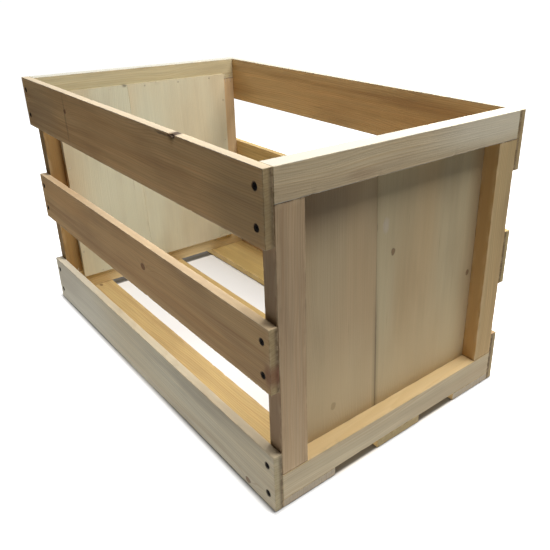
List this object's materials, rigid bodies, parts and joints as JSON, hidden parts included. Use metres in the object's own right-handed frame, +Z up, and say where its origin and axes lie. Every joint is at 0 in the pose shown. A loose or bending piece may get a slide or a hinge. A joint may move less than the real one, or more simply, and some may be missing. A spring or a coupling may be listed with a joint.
{
  "type": "slatted crate",
  "caption": "Open-topped slatted pine crate with framed and panelled ends, side slats and floor slats with gaps between them, for carrying and stacking goods.",
  "frame": {"origin": "on the ground, under the middle of the crate: the bottom centre of its box", "axes": "+X along the crate's length towards the right end, -Y is the front side, +Z up"},
  "size_m": [0.77, 0.457, 0.457],
  "materials": {
    "side_slat": "planed bare pine, a little weathered",
    "floor_slat": "planed bare pine, golden",
    "frame": "planed bare pine",
    "panel": "planed bare pine, pale",
    "screw": "black phosphate",
    "wire": "dull galvanised"
  },
  "bodies": {
    "root": {"left_end_top_rail": "frame", "left_end_bottom_rail": "frame", "left_end_front_stile": "frame", "left_end_back_stile": "frame", "left_end_front_panel_board": "panel", "left_end_back_panel_board": "panel", "left_end_panel_nails": "wire", "left_end_corner_staples": "wire", "right_end_top_rail": "frame", "right_end_bottom_rail": "frame", "right_end_front_stile": "frame", "right_end_back_stile": "frame", "right_end_front_panel_board": "panel", "right_end_back_panel_board": "panel", "right_end_panel_nails": "wire", "right_end_corner_staples": "wire", "front_top_slat": "side_slat", "front_middle_slat": "side_slat", "front_bottom_slat": "side_slat", "back_top_slat": "side_slat", "back_middle_slat": "side_slat", "back_bottom_slat": "side_slat", "front_floor_slat": "floor_slat", "centre_floor_slat": "floor_slat", "back_floor_slat": "floor_slat", "front_slat_screws": "screw", "back_slat_screws": "screw", "floor_slat_screws": "screw"}
  },
  "joints": []
}
